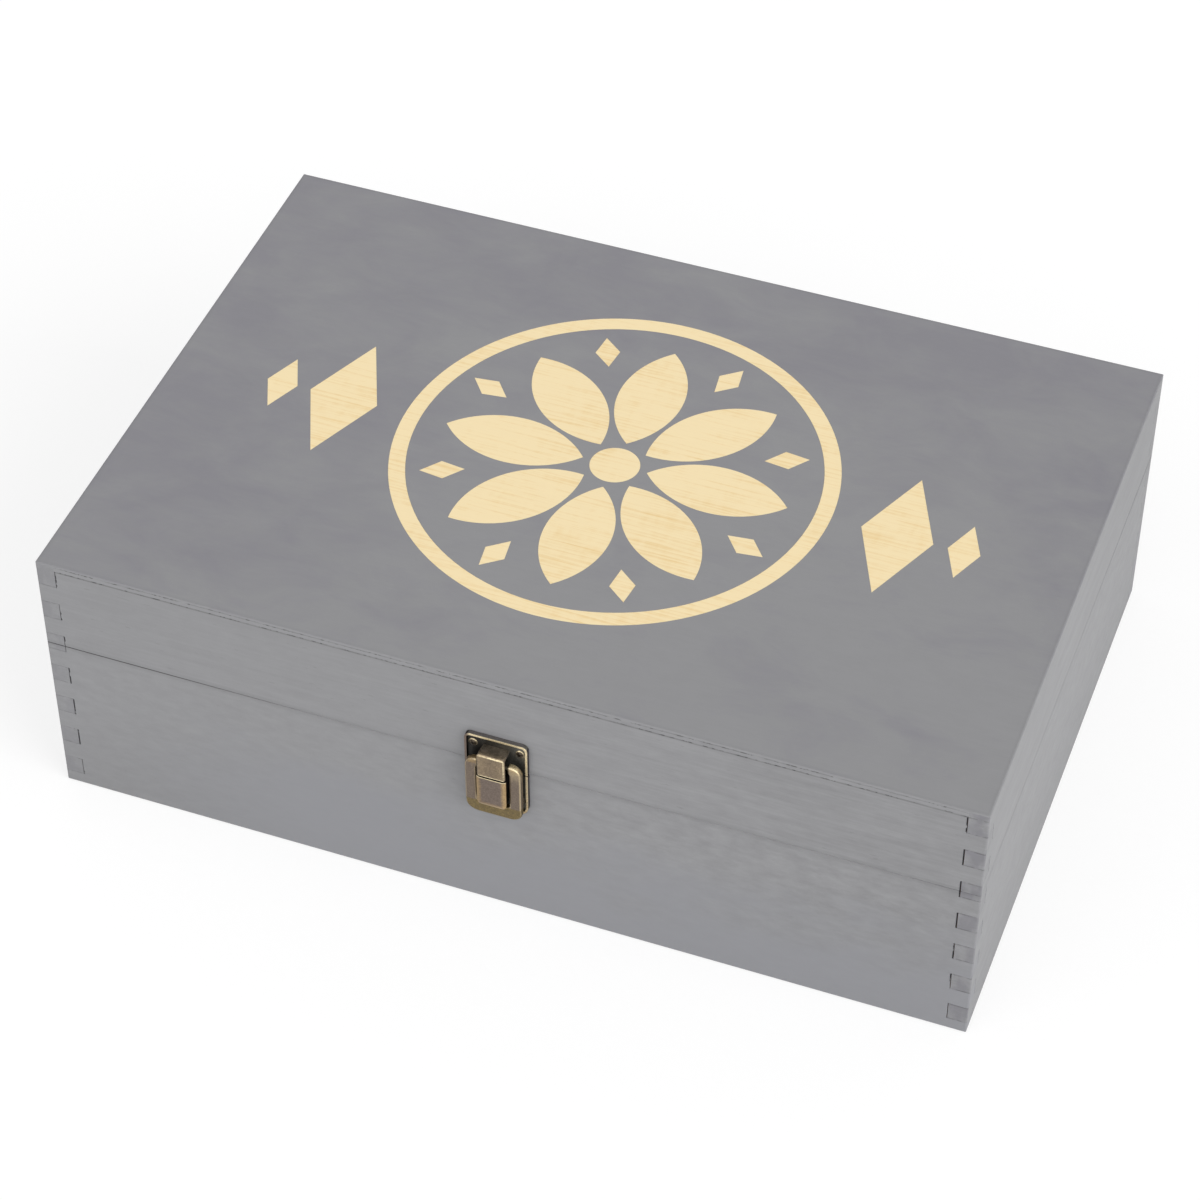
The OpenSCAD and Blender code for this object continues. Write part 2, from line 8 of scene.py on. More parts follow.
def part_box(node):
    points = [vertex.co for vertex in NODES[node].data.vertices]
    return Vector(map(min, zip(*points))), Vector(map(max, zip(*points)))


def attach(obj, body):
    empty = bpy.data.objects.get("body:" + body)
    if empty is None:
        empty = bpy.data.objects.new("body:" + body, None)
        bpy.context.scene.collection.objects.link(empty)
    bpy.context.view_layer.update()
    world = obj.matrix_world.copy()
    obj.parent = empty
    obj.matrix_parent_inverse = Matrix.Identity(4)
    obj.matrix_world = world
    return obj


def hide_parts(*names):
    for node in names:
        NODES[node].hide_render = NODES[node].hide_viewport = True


# Looks of the keepsake box: its materials, rounded edges, a smoother lever, the camera and light
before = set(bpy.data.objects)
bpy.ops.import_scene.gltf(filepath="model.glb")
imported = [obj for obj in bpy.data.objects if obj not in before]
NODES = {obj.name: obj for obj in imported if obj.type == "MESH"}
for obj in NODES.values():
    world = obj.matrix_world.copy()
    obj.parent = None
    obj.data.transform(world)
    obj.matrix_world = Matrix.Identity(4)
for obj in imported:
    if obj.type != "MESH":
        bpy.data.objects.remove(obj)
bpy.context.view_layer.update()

MM = 0.001

# Camera, in metres and degrees: lens and place come from a pinhole fit to the box's corners
CAMERA_PLACE = (0.31824, -0.87679, 0.96343)
CAMERA_AZIMUTH = 20.271
CAMERA_ELEVATION = 44.617
CAMERA_LENS_MM = 107.36
CAMERA_SENSOR_MM = 36.0


def low(node, axis):
    """The least x, y or z of a CAD node, in millimetres."""
    return getattr(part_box(node)[0], axis) / MM


def high(node, axis):
    """The greatest x, y or z of a CAD node, in millimetres."""
    return getattr(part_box(node)[1], axis) / MM


# Sizes read off the CAD nodes, in millimetres. A name ending in _D is a depth, here and below: a
# distance out from the box's front face.
HALF_W = high("base_right_board", "x")
HALF_D = -low("base_front_board", "y")
BOARD_T = HALF_W - low("base_right_board", "x")
TOP_Z = high("lid_top_panel", "z")
PANEL_UNDER_Z = low("lid_top_panel", "z")
SEAM_Z = high("base_right_board", "z")
SEAM_GAP = low("lid_right_board", "z") - SEAM_Z
LEVER_HALF_W = high("clasp_lever", "x")
LEVER_TOP_Z = high("clasp_lever", "z")
LEVER_FOOT_Z = low("clasp_lever", "z")
PLATE_HALF_W = high("clasp_lid_plate", "x")
PLATE_TOP_Z = high("clasp_lid_plate", "z")
PLATE_FOOT_Z = low("clasp_base_plate", "z")
PLATE_RIM_D = -low("clasp_lid_plate", "y") - HALF_D
KEEPER_FRONT_D = -low("clasp_keeper", "y") - HALF_D
KEEPER_TOP_Z = high("clasp_keeper", "z")
KEEPER_FOOT_Z = low("clasp_keeper", "z")
TONGUE_HALF_W = high("clasp_tongue", "x")
TONGUE_FOOT_Z = low("clasp_tongue", "z")

# Other sizes as in the CAD, in millimetres
TONGUE_SPLIT = 0.8
TONGUE_TOP_Z = KEEPER_FOOT_Z - TONGUE_SPLIT
TONGUE_FRONT_D = KEEPER_FRONT_D
SCREW_HEAD_R = 1.7
LEVER_FOLD_Z = TONGUE_FOOT_Z
LEVER_BACK_D = 3.0
LEVER_FRONT_D = 5.4
LEVER_FOOT_D = 4.3
LEVER_BAR_Z = LEVER_FOLD_Z - 0.5
LEVER_SHOULDER_Z = LEVER_TOP_Z - 4.2
LEVER_NOSE_X = 5.4
LEVER_NOSE_H = 2.6
FINGER_FIRST = 5.1
FINGER_PITCH = 15.75
FINGER_H = 7.8

# Thicknesses that the looks alone need, in millimetres: how far the stain reaches in over the
# boards' cut edges, and the skin that counts as a finger's end grain or as a panel's edge
STAIN_REACH = 0.7
EDGE_SKIN = 0.35

# Places of the colour sockets of a Mix node
MIX_FIRST = 6
MIX_SECOND = 7
MIX_RESULT = 2


def srgb(red, green, blue):
    """A colour written in sRGB steps of 0 to 255, as the linear colour that sockets take."""
    def linear(step):
        share = step / 255
        return share / 12.92 if share <= 0.04045 else ((share + 0.055) / 1.055) ** 2.4
    return (linear(red), linear(green), linear(blue), 1.0)


PAINT_TOP = srgb(143, 143, 145)
PAINT_TOP_DARK = srgb(133.5, 132.5, 138)
PAINT_WALL = srgb(142, 142, 144)
PAINT_BLUISH = srgb(141, 141.5, 146)
PAINT_END_GRAIN = srgb(124, 123, 128)
# Near-black painted shade for the gaps of the finger joints
SHADE_IN_GAP = srgb(34, 32, 38)
BARE_WOOD = srgb(226, 205, 172)
BARE_WOOD_DARK = srgb(207, 181, 143)
PLY_PALE = srgb(229, 210, 178)
PLY_DARK = srgb(213, 190, 153)
VENEER_PALE = srgb(250, 229, 183)
VENEER_DARK = srgb(238, 206, 146)
# Dark patina in hollows, and painted shade in gaps
PATINA_AND_SHADE_BLACK = srgb(30, 27, 26)
RECESS_LEFT = srgb(44, 42, 39)
RECESS_RIGHT_LIT = srgb(112, 110, 103)
SHADE_BLUE = srgb(60, 53, 59)
PLATE_TOP_GREY = srgb(120, 116, 114)
RIM_SHADE_BROWN = srgb(112, 98, 88)
PATINA_AND_SHADE_TAUPE = srgb(138, 127, 113)
BRONZE_GREY = srgb(115, 102, 90)
BRONZE_BEIGE = srgb(142, 127, 105)
BRONZE_DULL = srgb(114, 100, 84)
OLIVE_PATINA_AND_REFLECTION = srgb(110, 93, 53)
BRONZE_TAN = srgb(150, 132, 106)
BRONZE_MAUVE = srgb(114, 101, 92)
BRONZE_UMBER = srgb(84, 74, 62)
BRASS_GOLD = srgb(150, 126, 90)
BRASS_WARM = srgb(170, 144, 105)
BRASS_RUBBED = srgb(164, 148, 122)
BRASS_PALE = srgb(190, 172, 138)
BRASS_CREAM = srgb(218, 202, 166)
STEEL_DARK = srgb(120, 112, 98)


class Graph:
    """The node tree of one material, with short calls for what the materials here are made of."""

    def __init__(self, name):
        self.material = bpy.data.materials.new(name)
        self.material.use_nodes = True
        self.tree = self.material.node_tree
        self.tree.nodes.clear()
        self.shader = self.node("ShaderNodeBsdfPrincipled")
        output = self.node("ShaderNodeOutputMaterial")
        self.tree.links.new(self.shader.outputs["BSDF"], output.inputs["Surface"])
        coordinates = self.node("ShaderNodeTexCoord")
        to_mm = self.node("ShaderNodeVectorMath", operation="SCALE")
        self.tree.links.new(coordinates.outputs["Object"], to_mm.inputs[0])
        to_mm.inputs["Scale"].default_value = 1 / MM
        self.place = to_mm.outputs[0]
        self.x, self.y, self.z = self.parts(self.place)
        self.facing = coordinates.outputs["Normal"]

    def node(self, kind, **settings):
        """A new node with these settings."""
        made = self.tree.nodes.new(kind)
        for name, value in settings.items():
            setattr(made, name, value)
        return made

    def parts(self, vector):
        """The x, y and z of a vector."""
        split = self.node("ShaderNodeSeparateXYZ")
        self.tree.links.new(vector, split.inputs[0])
        return split.outputs

    def depth(self):
        """The distance out from the box's front face."""
        return self.minus(self.multiply(self.y, -1.0), HALF_D)

    def put(self, socket, value):
        """Links value to the socket, or sets it where it is a number or a colour."""
        if isinstance(value, bpy.types.NodeSocket):
            self.tree.links.new(value, socket)
        else:
            socket.default_value = value

    def math(self, operation, *values):
        """The result of one operation on numbers or sockets."""
        made = self.node("ShaderNodeMath", operation=operation)
        for socket, value in zip(made.inputs, values):
            self.put(socket, value)
        return made.outputs[0]

    def chain(self, operation, values):
        """The result of an operation that takes two values, run over all of them from the left."""
        result = values[0]
        for value in values[1:]:
            result = self.math(operation, result, value)
        return result

    def multiply(self, *values):
        return self.chain("MULTIPLY", values)

    def add(self, *values):
        return self.chain("ADD", values)

    def largest(self, *values):
        return self.chain("MAXIMUM", values)

    def size(self, value):
        """The value without its sign."""
        return self.math("ABSOLUTE", value)

    def minus(self, first, second):
        return self.math("SUBTRACT", first, second)

    def rest(self, share):
        """What share leaves of 1."""
        return self.minus(1.0, share)

    def ramp(self, value, start, end):
        """0 where value is at start, 1 where it is at end, and held there beyond them."""
        made = self.node("ShaderNodeMapRange", clamp=True)
        self.put(made.inputs["Value"], value)
        made.inputs["From Min"].default_value = start
        made.inputs["From Max"].default_value = end
        return made.outputs["Result"]

    def between(self, value, start, end, edge):
        """1 where value lies between start and end, going to 0 over a distance edge past them."""
        rise = self.ramp(value, start - edge, start)
        return self.multiply(rise, self.ramp(value, end + edge, end))

    def noise(self, size, detail=2.0, rough=0.5, stretch=(1, 1, 1), shift=0.0, wavy=0.0):
        """Noise of 0 to 1 with features about size millimetres wide, times stretch along an axis.

        detail and rough are how many finer layers it has and how strong they are, wavy is how much
        it bends, and shift moves it so that no two patterns are alike.
        """
        mapping = self.node("ShaderNodeMapping")
        self.put(mapping.inputs["Vector"], self.place)
        mapping.inputs["Scale"].default_value = [1 / (size * s) for s in stretch]
        mapping.inputs["Location"].default_value = (shift, shift * 1.7, shift * 0.6)
        made = self.node("ShaderNodeTexNoise")
        self.put(made.inputs["Vector"], mapping.outputs[0])
        made.inputs["Scale"].default_value = 1.0
        made.inputs["Detail"].default_value = detail
        made.inputs["Roughness"].default_value = rough
        made.inputs["Distortion"].default_value = wavy
        return made.outputs["Fac"]

    def mix(self, share, first, second):
        """A colour that goes from first at share 0 to second at share 1."""
        made = self.node("ShaderNodeMix", data_type="RGBA")
        self.put(made.inputs["Factor"], share)
        self.put(made.inputs[MIX_FIRST], first)
        self.put(made.inputs[MIX_SECOND], second)
        return made.outputs[MIX_RESULT]

    def shade(self, colour, factor):
        """The colour, or a plain one given as four numbers, times a number."""
        made = self.node("ShaderNodeVectorMath", operation="SCALE")
        self.put(made.inputs[0], colour[:3] if isinstance(colour, tuple) else colour)
        self.put(made.inputs["Scale"], factor)
        return made.outputs[0]

    def vary(self, colour, noise, amount):
        """The colour made up to half of amount lighter or darker by a noise."""
        return self.shade(colour, self.add(1.0, self.multiply(self.minus(noise, 0.5), amount)))

    def bump(self, height, depth_mm, strength):
        """Roughens the surface by a height of 0 to 1 that stands for a depth."""
        made = self.node("ShaderNodeBump")
        self.put(made.inputs["Height"], height)
        made.inputs["Distance"].default_value = depth_mm * MM
        made.inputs["Strength"].default_value = strength
        self.put(self.shader.inputs["Normal"], made.outputs[0])

    def finish(self, colour, rough, metal=0.0, specular=0.5):
        """Sets the shader and gives the finished material."""
        self.put(self.shader.inputs["Base Color"], colour)
        self.put(self.shader.inputs["Roughness"], rough)
        self.shader.inputs["Metallic"].default_value = metal
        self.shader.inputs["Specular IOR Level"].default_value = specular
        return self.material


def along(axis, length):
    """Stretch factors that draw a pattern out along one axis, as wood grain is."""
    return tuple(length if name == axis else 1.0 for name in "xyz")


def bare_wood(g, axis, pale, dark, shift):
    """Bare wood with grain along an axis: its colour and its height for a bump."""
    rings = g.noise(2.2, 3, 0.6, along(axis, 40), shift, wavy=0.4)
    fibre = g.noise(0.35, 2, 0.6, along(axis, 30), shift + 5)
    patches = g.noise(40, 2, 0.5, along(axis, 3), shift + 9)
    share = g.add(g.multiply(rings, 0.6), g.multiply(patches, 0.4))
    colour = g.vary(g.mix(g.ramp(share, 0.36, 0.66), pale, dark), fibre, 0.1)
    return colour, g.add(g.multiply(fibre, 0.5), g.multiply(rings, 0.5))


def wall_darkening(g, axis, shift):
    """How much darker the stain is: in small ticks, low down, and towards one end of the wall."""
    ticks = g.noise(0.9, 2, 0.5, along(axis, 5), shift)
    ticks_share = g.multiply(g.ramp(ticks, 0.70, 0.76), 0.12)
    foot_share = g.multiply(g.ramp(g.z, 46, 4), 0.09)
    if axis == "x":
        end_share = g.multiply(g.ramp(g.x, 60, 150), 0.035)
    else:
        end_share = g.multiply(g.ramp(g.y, 0, 90), g.ramp(g.z, 20, 90), 0.07)
    return g.add(ticks_share, foot_share, end_share)


def wall_paint(g, axis, figure, streaky, shift):
    """Thin grey stain on wood with grain along an axis: its colour and its height.

    figure is how strongly the grain shows, and streaky how much of it is streaks, not mottling.
    """
    streaks = g.noise(1.1, 3, 0.6, along(axis, 40), shift)
    bands = g.noise(4.5, 3, 0.55, along(axis, 9), shift + 3, wavy=0.3)
    mottle = g.noise(3.4, 4, 0.62, along(axis, 2.2), shift + 7)
    grain = g.add(g.multiply(streaks, streaky / 2), g.multiply(bands, streaky / 2))
    pattern = g.add(grain, g.multiply(mottle, 1 - streaky))
    if axis == "x":
        figure = g.multiply(g.add(0.7, g.multiply(g.ramp(g.x, -60, 110), 0.6)), figure)
    colour = g.shade(g.vary(PAINT_WALL, pattern, figure), g.rest(wall_darkening(g, axis, shift + 11)))
    return colour, g.add(g.multiply(streaks, 0.7), g.multiply(mottle, 0.3))


def top_paint(g):
    """Cloudy grey stain on the lid's top, darker at the back and sides: its colour and height."""
    clouds = g.noise(24, 5, 0.62, (1.6, 1, 1), 2.0, wavy=0.5)
    fine = g.noise(5, 4, 0.65, (2.2, 1, 1), 4.0)
    fibre = g.noise(0.7, 2, 0.6, along("x", 22), 6.0)
    weaker_at_front = g.add(0.3, g.multiply(g.ramp(g.y, -105, -82), 0.7))
    left = g.multiply(g.ramp(g.x, -10, -HALF_W + 30), weaker_at_front)
    back = g.multiply(g.ramp(g.y, 0, HALF_D - 30), 0.9)
    right = g.multiply(g.ramp(g.x, 110, HALF_W - 15), g.ramp(g.y, -50, 30), 0.9)
    share = g.add(g.multiply(clouds, 0.68), g.multiply(fine, 0.32))
    share = g.add(share, g.multiply(g.largest(left, back, right), 0.19))
    colour = g.mix(g.ramp(share, 0.50, 0.76), PAINT_TOP, PAINT_TOP_DARK)
    reach = g.largest(g.minus(g.size(g.x), HALF_W), g.minus(g.size(g.y), HALF_D))
    # Painted shade: a narrow band just in from the top's edges goes a little darker.
    shaded_border = g.multiply(g.ramp(reach, -1.8, -0.7), 0.06)
    colour = g.vary(g.shade(colour, g.rest(shaded_border)), fibre, 0.05)
    return g.vary(colour, fine, 0.10), g.add(g.multiply(fibre, 0.7), g.multiply(fine, 0.3))


def finger_row(g):
    """Distance in height from the middle of the nearest side-board finger, in millimetres."""
    cycle = g.math("WRAP", g.minus(g.z, FINGER_FIRST), FINGER_PITCH, 0.0)
    return g.size(g.minus(cycle, FINGER_H / 2))


def end_grain(g, paint, row, strength, shift):
    """Soaked stain in end grain: dark patches and streaks, and painted shade in broken lines at its
    edges.
    """
    streaks = g.ramp(g.noise(0.7, 3, 0.7, (7, 7, 1), shift), 0.3, 0.7)
    patches = g.noise(5, 2, 0.5, (1, 1, 1.6), shift + 3)
    breaks = g.ramp(g.noise(2.4, 2, 0.5, (1, 1, 4), shift + 6), 0.42, 0.55)
    share = g.add(g.multiply(g.ramp(patches, 0.40, 0.58), 0.7), g.multiply(streaks, 0.3))
    colour = g.mix(g.multiply(share, strength), paint, PAINT_END_GRAIN)
    colour = g.vary(colour, streaks, 0.2 * strength)
    # Painted shade: broken dark lines along a finger's upper and lower edges, in the joint's gaps.
    painted_light_line = g.between(row, FINGER_H / 2 - 0.35, FINGER_H / 2, 0.15)
    return g.shade(colour, g.rest(g.multiply(painted_light_line, breaks, 0.3 * strength)))


def gap_shade(g, axis, row, shift):
    """Broken dark painted shade on a board beside the ends of the other board's fingers, in the
    gap.
    """
    breaks = g.noise(1.5, 2, 0.6, (1, 1, 1.3), shift)
    finger = g.ramp(row, FINGER_H / 2 + 0.1, FINGER_H / 2 - 0.1)
    if axis == "x":
        reach = g.between(g.size(g.x), HALF_W - BOARD_T - 0.5, HALF_W - BOARD_T, 0.1)
        right = g.multiply(g.ramp(g.x, -1, 1), g.ramp(g.z, 15, 55))
        left = g.multiply(g.ramp(g.x, 1, -1), g.between(g.z, 22, 62, 9), 0.9)
        share = g.ramp(g.add(breaks, g.multiply(g.add(right, left), 0.16)), 0.52, 0.6)
        return g.multiply(reach, finger, share)
    reach = g.between(g.size(g.y), HALF_D - BOARD_T - 0.4, HALF_D - BOARD_T, 0.1)
    return g.multiply(reach, g.rest(finger), g.ramp(breaks, 0.5, 0.6), 0.6)


def seam_tone(g, axis):
    """A factor along the seam: painted shade that is dark towards some of the walls' ends, else
    painted light in its gap.

    The dark ends are the left end of the long walls, faintly their right end, and the sides' back.
    """
    close = g.between(g.z, SEAM_Z - 0.1, SEAM_Z + 0.25, 0.12)
    wide = g.between(g.z, SEAM_Z - 0.8, SEAM_Z + 1.0, 1.2)
    end = g.largest(g.ramp(g.x, -50, -130), g.multiply(g.ramp(g.x, 130, 160), 0.35))
    if axis == "y":
        front_tips = g.multiply(end, g.ramp(g.y, 0.5 - HALF_D, 0.3 - HALF_D))
        end = g.largest(g.ramp(g.y, 0, HALF_D), front_tips)
    # Painted light: the faces inside the seam's gap are lifted brighter, away from the dark ends.
    cut = g.between(g.z, SEAM_Z - 0.02, SEAM_Z + SEAM_GAP + 0.02, 0.03)
    # Painted shade: darker in a band along the seam, and much darker near the dark ends.
    stain = g.largest(g.multiply(close, end, 0.62), g.multiply(wide, 0.09))
    return g.add(g.rest(stain), g.multiply(cut, g.rest(end), 0.4))


def outside_share(g):
    """1 on the painted outside of the box and 0 inside it, with a ragged limit on cut edges."""
    ragged = g.multiply(g.minus(g.noise(3, 2), 0.5), 0.6)
    reach_x = g.minus(g.add(g.size(g.x), ragged), HALF_W - STAIN_REACH)
    reach_y = g.minus(g.add(g.size(g.y), ragged), HALF_D - STAIN_REACH)
    reach_top = g.minus(g.z, TOP_Z - 1.0)
    reach_under = g.minus(0.4, g.z)
    return g.ramp(g.largest(reach_x, reach_y, reach_top, reach_under), 0.0, 0.15)


def bluish_foot(g, paint, axis, shift):
    """The paint going slightly bluish low down, below a wandering border."""
    wander = g.minus(g.noise(34, 4, 0.6, along(axis, 2), shift), 0.5)
    border = g.add(g.z, g.multiply(wander, 90))
    share = g.multiply(g.ramp(border, 50, 22), g.ramp(g.x, -150, -70), 0.8)
    return g.mix(share, paint, PAINT_BLUISH)


def skin(g, reach, limit):
    """1 on the outermost skin of a board or panel, at limit, and 0 further in."""
    return g.ramp(g.size(reach), limit - EDGE_SKIN, limit - EDGE_SKIN + 0.05)


# How strongly the grain of each body's walls shows, and how much of it is streaks
WALL_FIGURE = {"base": (0.55, 0.3), "lid": (0.62, 0.65)}


def wall_material(name, axis, body, tip_strength, shift):
    """A wall board: grey outside and bare inside, with darker end grain at its finger tips."""
    g = Graph(name)
    paint, paint_height = wall_paint(g, axis, *WALL_FIGURE[body], shift)
    if body == "base" and axis == "x":
        paint = bluish_foot(g, paint, axis, shift + 15)
    row = finger_row(g)
    tip = skin(g, g.x, HALF_W) if axis == "x" else skin(g, g.y, HALF_D)
    paint = g.mix(tip, paint, end_grain(g, paint, row, tip_strength, shift + 30))
    # Painted shade: near-black broken dashes in the gaps at the other board's finger ends.
    paint = g.mix(gap_shade(g, axis, row, shift + 40), paint, SHADE_IN_GAP)
    # Painted shade along the seam, and painted light inside its gap.
    paint = g.shade(paint, seam_tone(g, axis))
    paint = g.mix(g.ramp(g.z, TOP_Z - 0.5, TOP_Z - 0.3), paint, top_paint(g)[0])
    if axis == "x":
        under_panel = g.between(g.z, PANEL_UNDER_Z - 0.2, PANEL_UNDER_Z, 0.15)
        paint = g.shade(paint, g.rest(g.multiply(under_panel, 0.3)))
    bare, bare_height = bare_wood(g, axis, BARE_WOOD, BARE_WOOD_DARK, shift + 20)
    outside = outside_share(g)
    height = g.add(g.multiply(outside, paint_height), g.multiply(g.rest(outside), bare_height))
    g.bump(height, 0.03, 0.5)
    rough = g.add(0.5, g.multiply(paint_height, 0.14))
    return g.finish(g.mix(outside, bare, paint), rough, specular=0.35)


def lid_panel_material():
    """The plywood lid panel: a stained top, broken ply lines on its long edges, and bare below."""
    g = Graph("painted_plywood")
    colour, height = top_paint(g)
    breaks = g.ramp(g.noise(2.5, 3, 0.7, along("x", 3), 8.0), 0.38, 0.52)
    dots = g.ramp(g.noise(1.0, 2, 0.6, along("x", 1.6), 9.0), 0.52, 0.6)
    upper = g.multiply(g.between(g.z, TOP_Z - 1.0, TOP_Z - 0.6, 0.1),
                       g.largest(g.multiply(breaks, 0.35), dots), 0.6)
    lower = g.multiply(g.between(g.z, PANEL_UNDER_Z, PANEL_UNDER_Z + 0.35, 0.1),
                       g.add(0.15, g.multiply(breaks, 0.2), g.multiply(dots, 0.5)))
    edge_paint = g.shade(wall_paint(g, "x", 0.5, 0.5, 44)[0], g.minus(1.03, g.add(upper, lower)))
    below_top = g.ramp(g.z, TOP_Z - 0.35, TOP_Z - 0.5)
    edge = g.multiply(skin(g, g.y, HALF_D), below_top)
    colour = g.mix(edge, colour, edge_paint)
    bare, bare_height = bare_wood(g, "x", PLY_PALE, PLY_DARK, 40)
    inside = g.math("LESS_THAN", g.size(g.y), HALF_D - 0.5)
    below = g.multiply(g.math("LESS_THAN", g.z, PANEL_UNDER_Z + 0.1), inside)
    g.bump(g.add(height, g.multiply(below, bare_height)), 0.025, 0.45)
    return g.finish(g.mix(below, colour, bare), g.add(0.5, g.multiply(height, 0.12)), specular=0.35)


def bare_ply_material():
    """Bare sanded plywood."""
    g = Graph("bare_plywood")
    colour, height = bare_wood(g, "x", PLY_PALE, PLY_DARK, 60)
    g.bump(height, 0.03, 0.5)
    return g.finish(colour, 0.62, specular=0.3)


def veneer_material():
    """Pale maple with fine lengthwise lines and faint flecks across them."""
    g = Graph("pale_veneer")
    lines = g.noise(1.1, 3, 0.6, along("x", 34), 70, wavy=0.2)
    fibre = g.noise(0.5, 2, 0.6, along("x", 24), 73)
    flecks = g.noise(3.0, 2, 0.5, (1, 2.5, 1), 74)
    patches = g.noise(30, 3, 0.5, along("x", 2), 76)
    share = g.add(g.multiply(lines, 0.6), g.multiply(patches, 0.25), g.multiply(flecks, 0.15))
    colour = g.mix(g.ramp(share, 0.50, 0.68), VENEER_PALE, VENEER_DARK)
    g.bump(g.add(fibre, lines), 0.02, 0.4)
    return g.finish(g.vary(colour, fibre, 0.05), 0.5, specular=0.35)


def bevel_share(g):
    """1 on faces that lean between the front and a side, the top or the foot, else 0."""
    x, y, z = g.parts(g.facing)
    lean = g.largest(g.size(g.multiply(x, y)), g.size(g.multiply(y, z)))
    return g.ramp(lean, 0.22, 0.48)


def metal_surface(g, colour, shift, rough):
    """Fine brushing, pits and metal gloss for a colour."""
    brush = g.noise(0.22, 2, 0.6, (1.2, 1, 6), shift)
    spots = g.ramp(g.noise(0.5, 3, 0.7, shift=shift + 8), 0.3, 0.7)
    g.bump(g.add(brush, spots), 0.012, 0.5)
    colour = g.vary(g.vary(colour, brush, 0.5), spots, 0.6)
    return g.finish(colour, g.add(rough - 0.06, g.multiply(spots, 0.14)), metal=0.8)


def wear_and_painted_light(g, share, first, second, shift):
    """The first colour going to the second by a share whose limit is ragged, for rubbed patina and
    painted light.
    """
    patches = g.noise(1.1, 3, 0.65, shift=shift)
    broken = g.add(share, g.multiply(g.minus(patches, 0.5), 1.3))
    return g.mix(g.ramp(broken, 0.3, 0.75), first, second)


def lever_material():
    """Grey-beige arms, an olive cross bar below them as painted reflection, golden tips, paler
    round edges.
    """
    g = Graph("antique_bronze_lever")
    bar = g.ramp(g.z, LEVER_FOLD_Z + 0.35, LEVER_FOLD_Z - 0.35)
    tip = g.ramp(g.z, LEVER_TOP_Z - 4.0, LEVER_TOP_Z - 1.0)
    glint = g.multiply(g.ramp(g.z, LEVER_TOP_Z - 2.6, LEVER_TOP_Z - 1.2), bevel_share(g))
    blotches = g.ramp(g.noise(0.8, 3, 0.7, shift=112), 0.35, 0.65)
    # The painted highlights below grow stronger towards the right arm.
    right = g.ramp(g.x, -8, 8)
    _, _, upward = g.parts(g.facing)
    crown = g.multiply(g.ramp(upward, 0.3, 0.8), g.ramp(g.z, LEVER_TOP_Z - 3.0, LEVER_TOP_Z - 1.0))
    # Painted reflection: the cross bar below the fold is olive, as its downward slope would reflect
    # the floor, mottled like patina.
    colour = g.mix(bar, BRONZE_GREY, g.vary(OLIVE_PATINA_AND_REFLECTION, blotches, 0.6))
    colour = wear_and_painted_light(g, g.multiply(tip, 0.75), colour, BRASS_GOLD, 114)
    # Painted highlight: the right arm's upper part goes paler.
    shoulder = g.multiply(g.ramp(g.z, LEVER_TOP_Z - 7.0, LEVER_TOP_Z - 3.0), right)
    colour = g.mix(g.multiply(shoulder, 0.45), colour, BRASS_PALE)
    # Rubbed paler edges, with painted highlight that is brighter on the right.
    pale_edge = g.multiply(bevel_share(g), g.rest(g.multiply(bar, 0.6)))
    colour = g.mix(g.multiply(pale_edge, 0.85), colour, g.mix(right, BRASS_RUBBED, BRASS_PALE))
    # Painted highlight: the tips' upward faces go pale, far more on the right.
    crown = g.multiply(crown, g.add(0.1, g.multiply(right, 0.8)))
    colour = g.mix(crown, colour, g.mix(right, BRASS_PALE, BRASS_CREAM))
    # Painted highlight: cream glints on the tips' rounded edges, far stronger on the right arm.
    glint = g.multiply(glint, g.add(0.2, g.multiply(right, 0.7)))
    colour = wear_and_painted_light(g, glint, colour, BRASS_CREAM, 117)
    return metal_surface(g, colour, 120, 0.38)


def keeper_material():
    """A taupe shelf in painted shade and a beige front wall with thin cream painted highlights on
    its edges.
    """
    g = Graph("antique_bronze_keeper")
    x, y, z = g.parts(g.facing)
    near_front = g.ramp(g.depth(), KEEPER_FRONT_D - 0.55, KEEPER_FRONT_D - 0.25)
    inner = g.largest(g.ramp(g.size(x), 0.8, 0.95), g.ramp(z, 0.8, 0.95), g.ramp(y, -0.3, 0.0))
    # Painted shade: faces that look down, over the gap above the tongue, go black.
    gap = g.ramp(z, -0.6, -0.9)
    # Painted highlight: a cream stripe along the front wall's lower edge.
    painted_light_line = g.multiply(g.ramp(g.z, KEEPER_FOOT_Z + 0.5, KEEPER_FOOT_Z + 0.25), near_front)
    clouds = g.noise(2.5, 3, 0.6, shift=129)
    sides = g.ramp(g.add(g.size(g.x), g.multiply(clouds, 6)), 1, 10)
    face = g.mix(sides, BRONZE_DULL, BRONZE_TAN)
    # Painted highlight: the front wall's rounded edges go cream, more towards the upper right.
    upper = g.ramp(g.add(g.x, g.z), KEEPER_TOP_Z - 5, KEEPER_TOP_Z)
    edge = g.multiply(bevel_share(g), near_front, g.add(0.35, g.multiply(upper, 0.4)))
    colour = wear_and_painted_light(g, g.largest(edge, g.multiply(painted_light_line, 0.8)), face, BRASS_CREAM, 131)
    # Painted shade: the shelf, the sides and the back go dark taupe, mottled like patina.
    colour = g.mix(inner, colour, g.vary(PATINA_AND_SHADE_TAUPE, g.ramp(clouds, 0.3, 0.7), 0.8))
    return metal_surface(g, g.mix(gap, colour, PATINA_AND_SHADE_BLACK), 133, 0.36)


